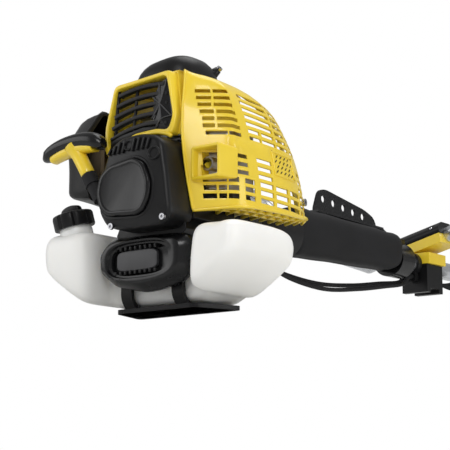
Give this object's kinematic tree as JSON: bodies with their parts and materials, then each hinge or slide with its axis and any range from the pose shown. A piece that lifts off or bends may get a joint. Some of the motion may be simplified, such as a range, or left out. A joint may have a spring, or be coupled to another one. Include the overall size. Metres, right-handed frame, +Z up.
{
  "type": "hedge trimmer",
  "caption": "Long-reach petrol hedge trimmer: engine with recoil starter and tank, padded shaft with handlebar, and a tilting double-sided blade.",
  "frame": {"origin": "on the skid plate's underside, straight below the crankshaft axis", "axes": "+Y along the shaft from the engine towards the cutter, +X towards the exhaust side, +Z up"},
  "size_m": [0.5322, 1.8319, 0.4213],
  "materials": {
    "yellow_plastic": "glossy injection-moulded yellow ABS",
    "black_plastic": "fine-textured black nylon",
    "gloss_black": "smooth glossy black plastic",
    "label": "dark grey printed plate without lettering",
    "tank_plastic": "translucent white polyethylene",
    "rubber": "soft black rubber",
    "clear_rubber": "amber translucent rubber",
    "cast_alloy": "die-cast aluminium",
    "tube_metal": "silver-painted tube",
    "steel": "ground and turned steel",
    "exhaust_steel": "plated pressed steel",
    "ceramic": "white ceramic and plated steel",
    "filter_foam": "open-cell foam",
    "rope": "braided nylon cord",
    "switch_red": "red plastic"
  },
  "bodies": {
    "engine_and_shaft": {"skid_base": "black_plastic", "fuel_tank": "tank_plastic", "tank_guard": "black_plastic", "guard_label": "label", "crankcase": "cast_alloy", "crankshaft": "steel", "crank_bearings": "steel", "connecting_rod": "steel", "piston": "cast_alloy", "cylinder": "cast_alloy", "spark_plug": "ceramic", "plug_cap": "black_plastic", "flywheel": "cast_alloy", "clutch_shoes": "steel", "clutch_housing": "black_plastic", "starter_housing": "black_plastic", "starter_badge": "gloss_black", "recoil_spring": "steel", "rope_guide": "rubber", "top_shroud": "yellow_plastic", "rear_grille": "black_plastic", "top_cap": "black_plastic", "muffler_guard": "yellow_plastic", "muffler": "exhaust_steel", "carburetor": "cast_alloy", "air_filter_element": "filter_foam", "air_filter_cover": "black_plastic", "fuel_line": "clear_rubber", "hip_pad": "rubber", "hanger_plate": "gloss_black", "pad_collar": "gloss_black", "shaft_tube": "tube_metal", "tube_bushings": "black_plastic", "throttle_cable": "rubber", "switch_lead": "rubber", "cable_clip": "black_plastic", "clamp_base": "black_plastic", "clamp_body": "yellow_plastic", "clamp_cap": "black_plastic", "handlebar": "tube_metal", "left_grip": "rubber", "throttle_housing": "black_plastic", "tilt_bracket": "cast_alloy", "machine_screws": "steel"},
    "pull_handle": {"starter_handle": "yellow_plastic", "handle_overmould": "gloss_black", "starter_rope": "rope"},
    "reel": {"starter_reel": "black_plastic"},
    "tank_cap": {"fuel_cap": "black_plastic"},
    "choke": {"choke_lever": "yellow_plastic"},
    "primer": {"primer_bulb": "clear_rubber"},
    "trigger": {"throttle_trigger": "gloss_black"},
    "lockout": {"throttle_lockout": "gloss_black"},
    "switch": {"stop_switch": "switch_red"},
    "drive_line": {"clutch_drum": "steel", "drive_shaft": "steel"},
    "cutter_head": {"cutter_case": "black_plastic", "guide_bar": "steel", "case_screws": "steel"},
    "top_blade": {"upper_blade": "steel"},
    "bottom_blade": {"lower_blade": "steel"}
  },
  "joints": [
    {"name": "starter_pull", "type": "slide", "parent": "engine_and_shaft", "child": "pull_handle", "axis": [-0.5299, 0, 0.848], "range_m": [0, 0.5]},
    {"name": "reel_turn", "type": "hinge", "parent": "engine_and_shaft", "child": "reel", "pos_m": [0, -0.077, 0.119], "axis": [0, 1, 0], "range_deg": [0, 1195]},
    {"name": "fuel_cap_turn", "type": "hinge", "parent": "engine_and_shaft", "child": "tank_cap", "pos_m": [-0.10971, -0.05774, 0.1067], "axis": [-0.171, -0.1736, 0.9698], "range_deg": [0, 270]},
    {"name": "choke_turn", "type": "hinge", "parent": "engine_and_shaft", "child": "choke", "pos_m": [-0.075, -0.0194, 0.188], "axis": [0, -1, 0], "range_deg": [-20, 0]},
    {"name": "primer_press", "type": "slide", "parent": "engine_and_shaft", "child": "primer", "axis": [0, 0, 1], "range_m": [0, 0.003], "stiffness_N_per_m": 400},
    {"name": "throttle_squeeze", "type": "hinge", "parent": "engine_and_shaft", "child": "trigger", "pos_m": [0.19899, 0.44301, 0.35671], "axis": [0.9641, 0.1132, 0.2404], "range_deg": [0, 9], "stiffness_Nm_per_rad": 0.5},
    {"name": "lockout_squeeze", "type": "hinge", "parent": "engine_and_shaft", "child": "lockout", "pos_m": [0.18797, 0.4521, 0.39665], "axis": [-0.9641, -0.1132, -0.2404], "range_deg": [0, 9], "stiffness_Nm_per_rad": 0.3},
    {"name": "stop_switch_slide", "type": "slide", "parent": "engine_and_shaft", "child": "switch", "axis": [0.9641, 0.1132, 0.2404], "range_m": [0, 0.0025], "stiffness_N_per_m": 600},
    {"name": "drive_spin", "type": "hinge", "parent": "engine_and_shaft", "child": "drive_line", "pos_m": [0, 0.6, 0.119], "axis": [0, 1, 0], "continuous": true},
    {"name": "cutter_tilt", "type": "hinge", "parent": "engine_and_shaft", "child": "cutter_head", "pos_m": [0, 1.176, 0.119], "axis": [1, 0, 0], "range_deg": [-35, 80]},
    {"name": "top_blade_stroke", "type": "slide", "parent": "cutter_head", "child": "top_blade", "axis": [0, 0.9821, -0.1884], "range_m": [-0.008, 0.008]},
    {"name": "bottom_blade_stroke", "type": "slide", "parent": "cutter_head", "child": "bottom_blade", "axis": [0, 0.9821, -0.1884], "range_m": [-0.008, 0.008]}
  ],
  "couplings": [
    {"joint": "reel_turn", "follows": "starter_pull", "rad_per_m": 41.667},
    {"joint": "bottom_blade_stroke", "follows": "top_blade_stroke", "ratio": -1}
  ]
}
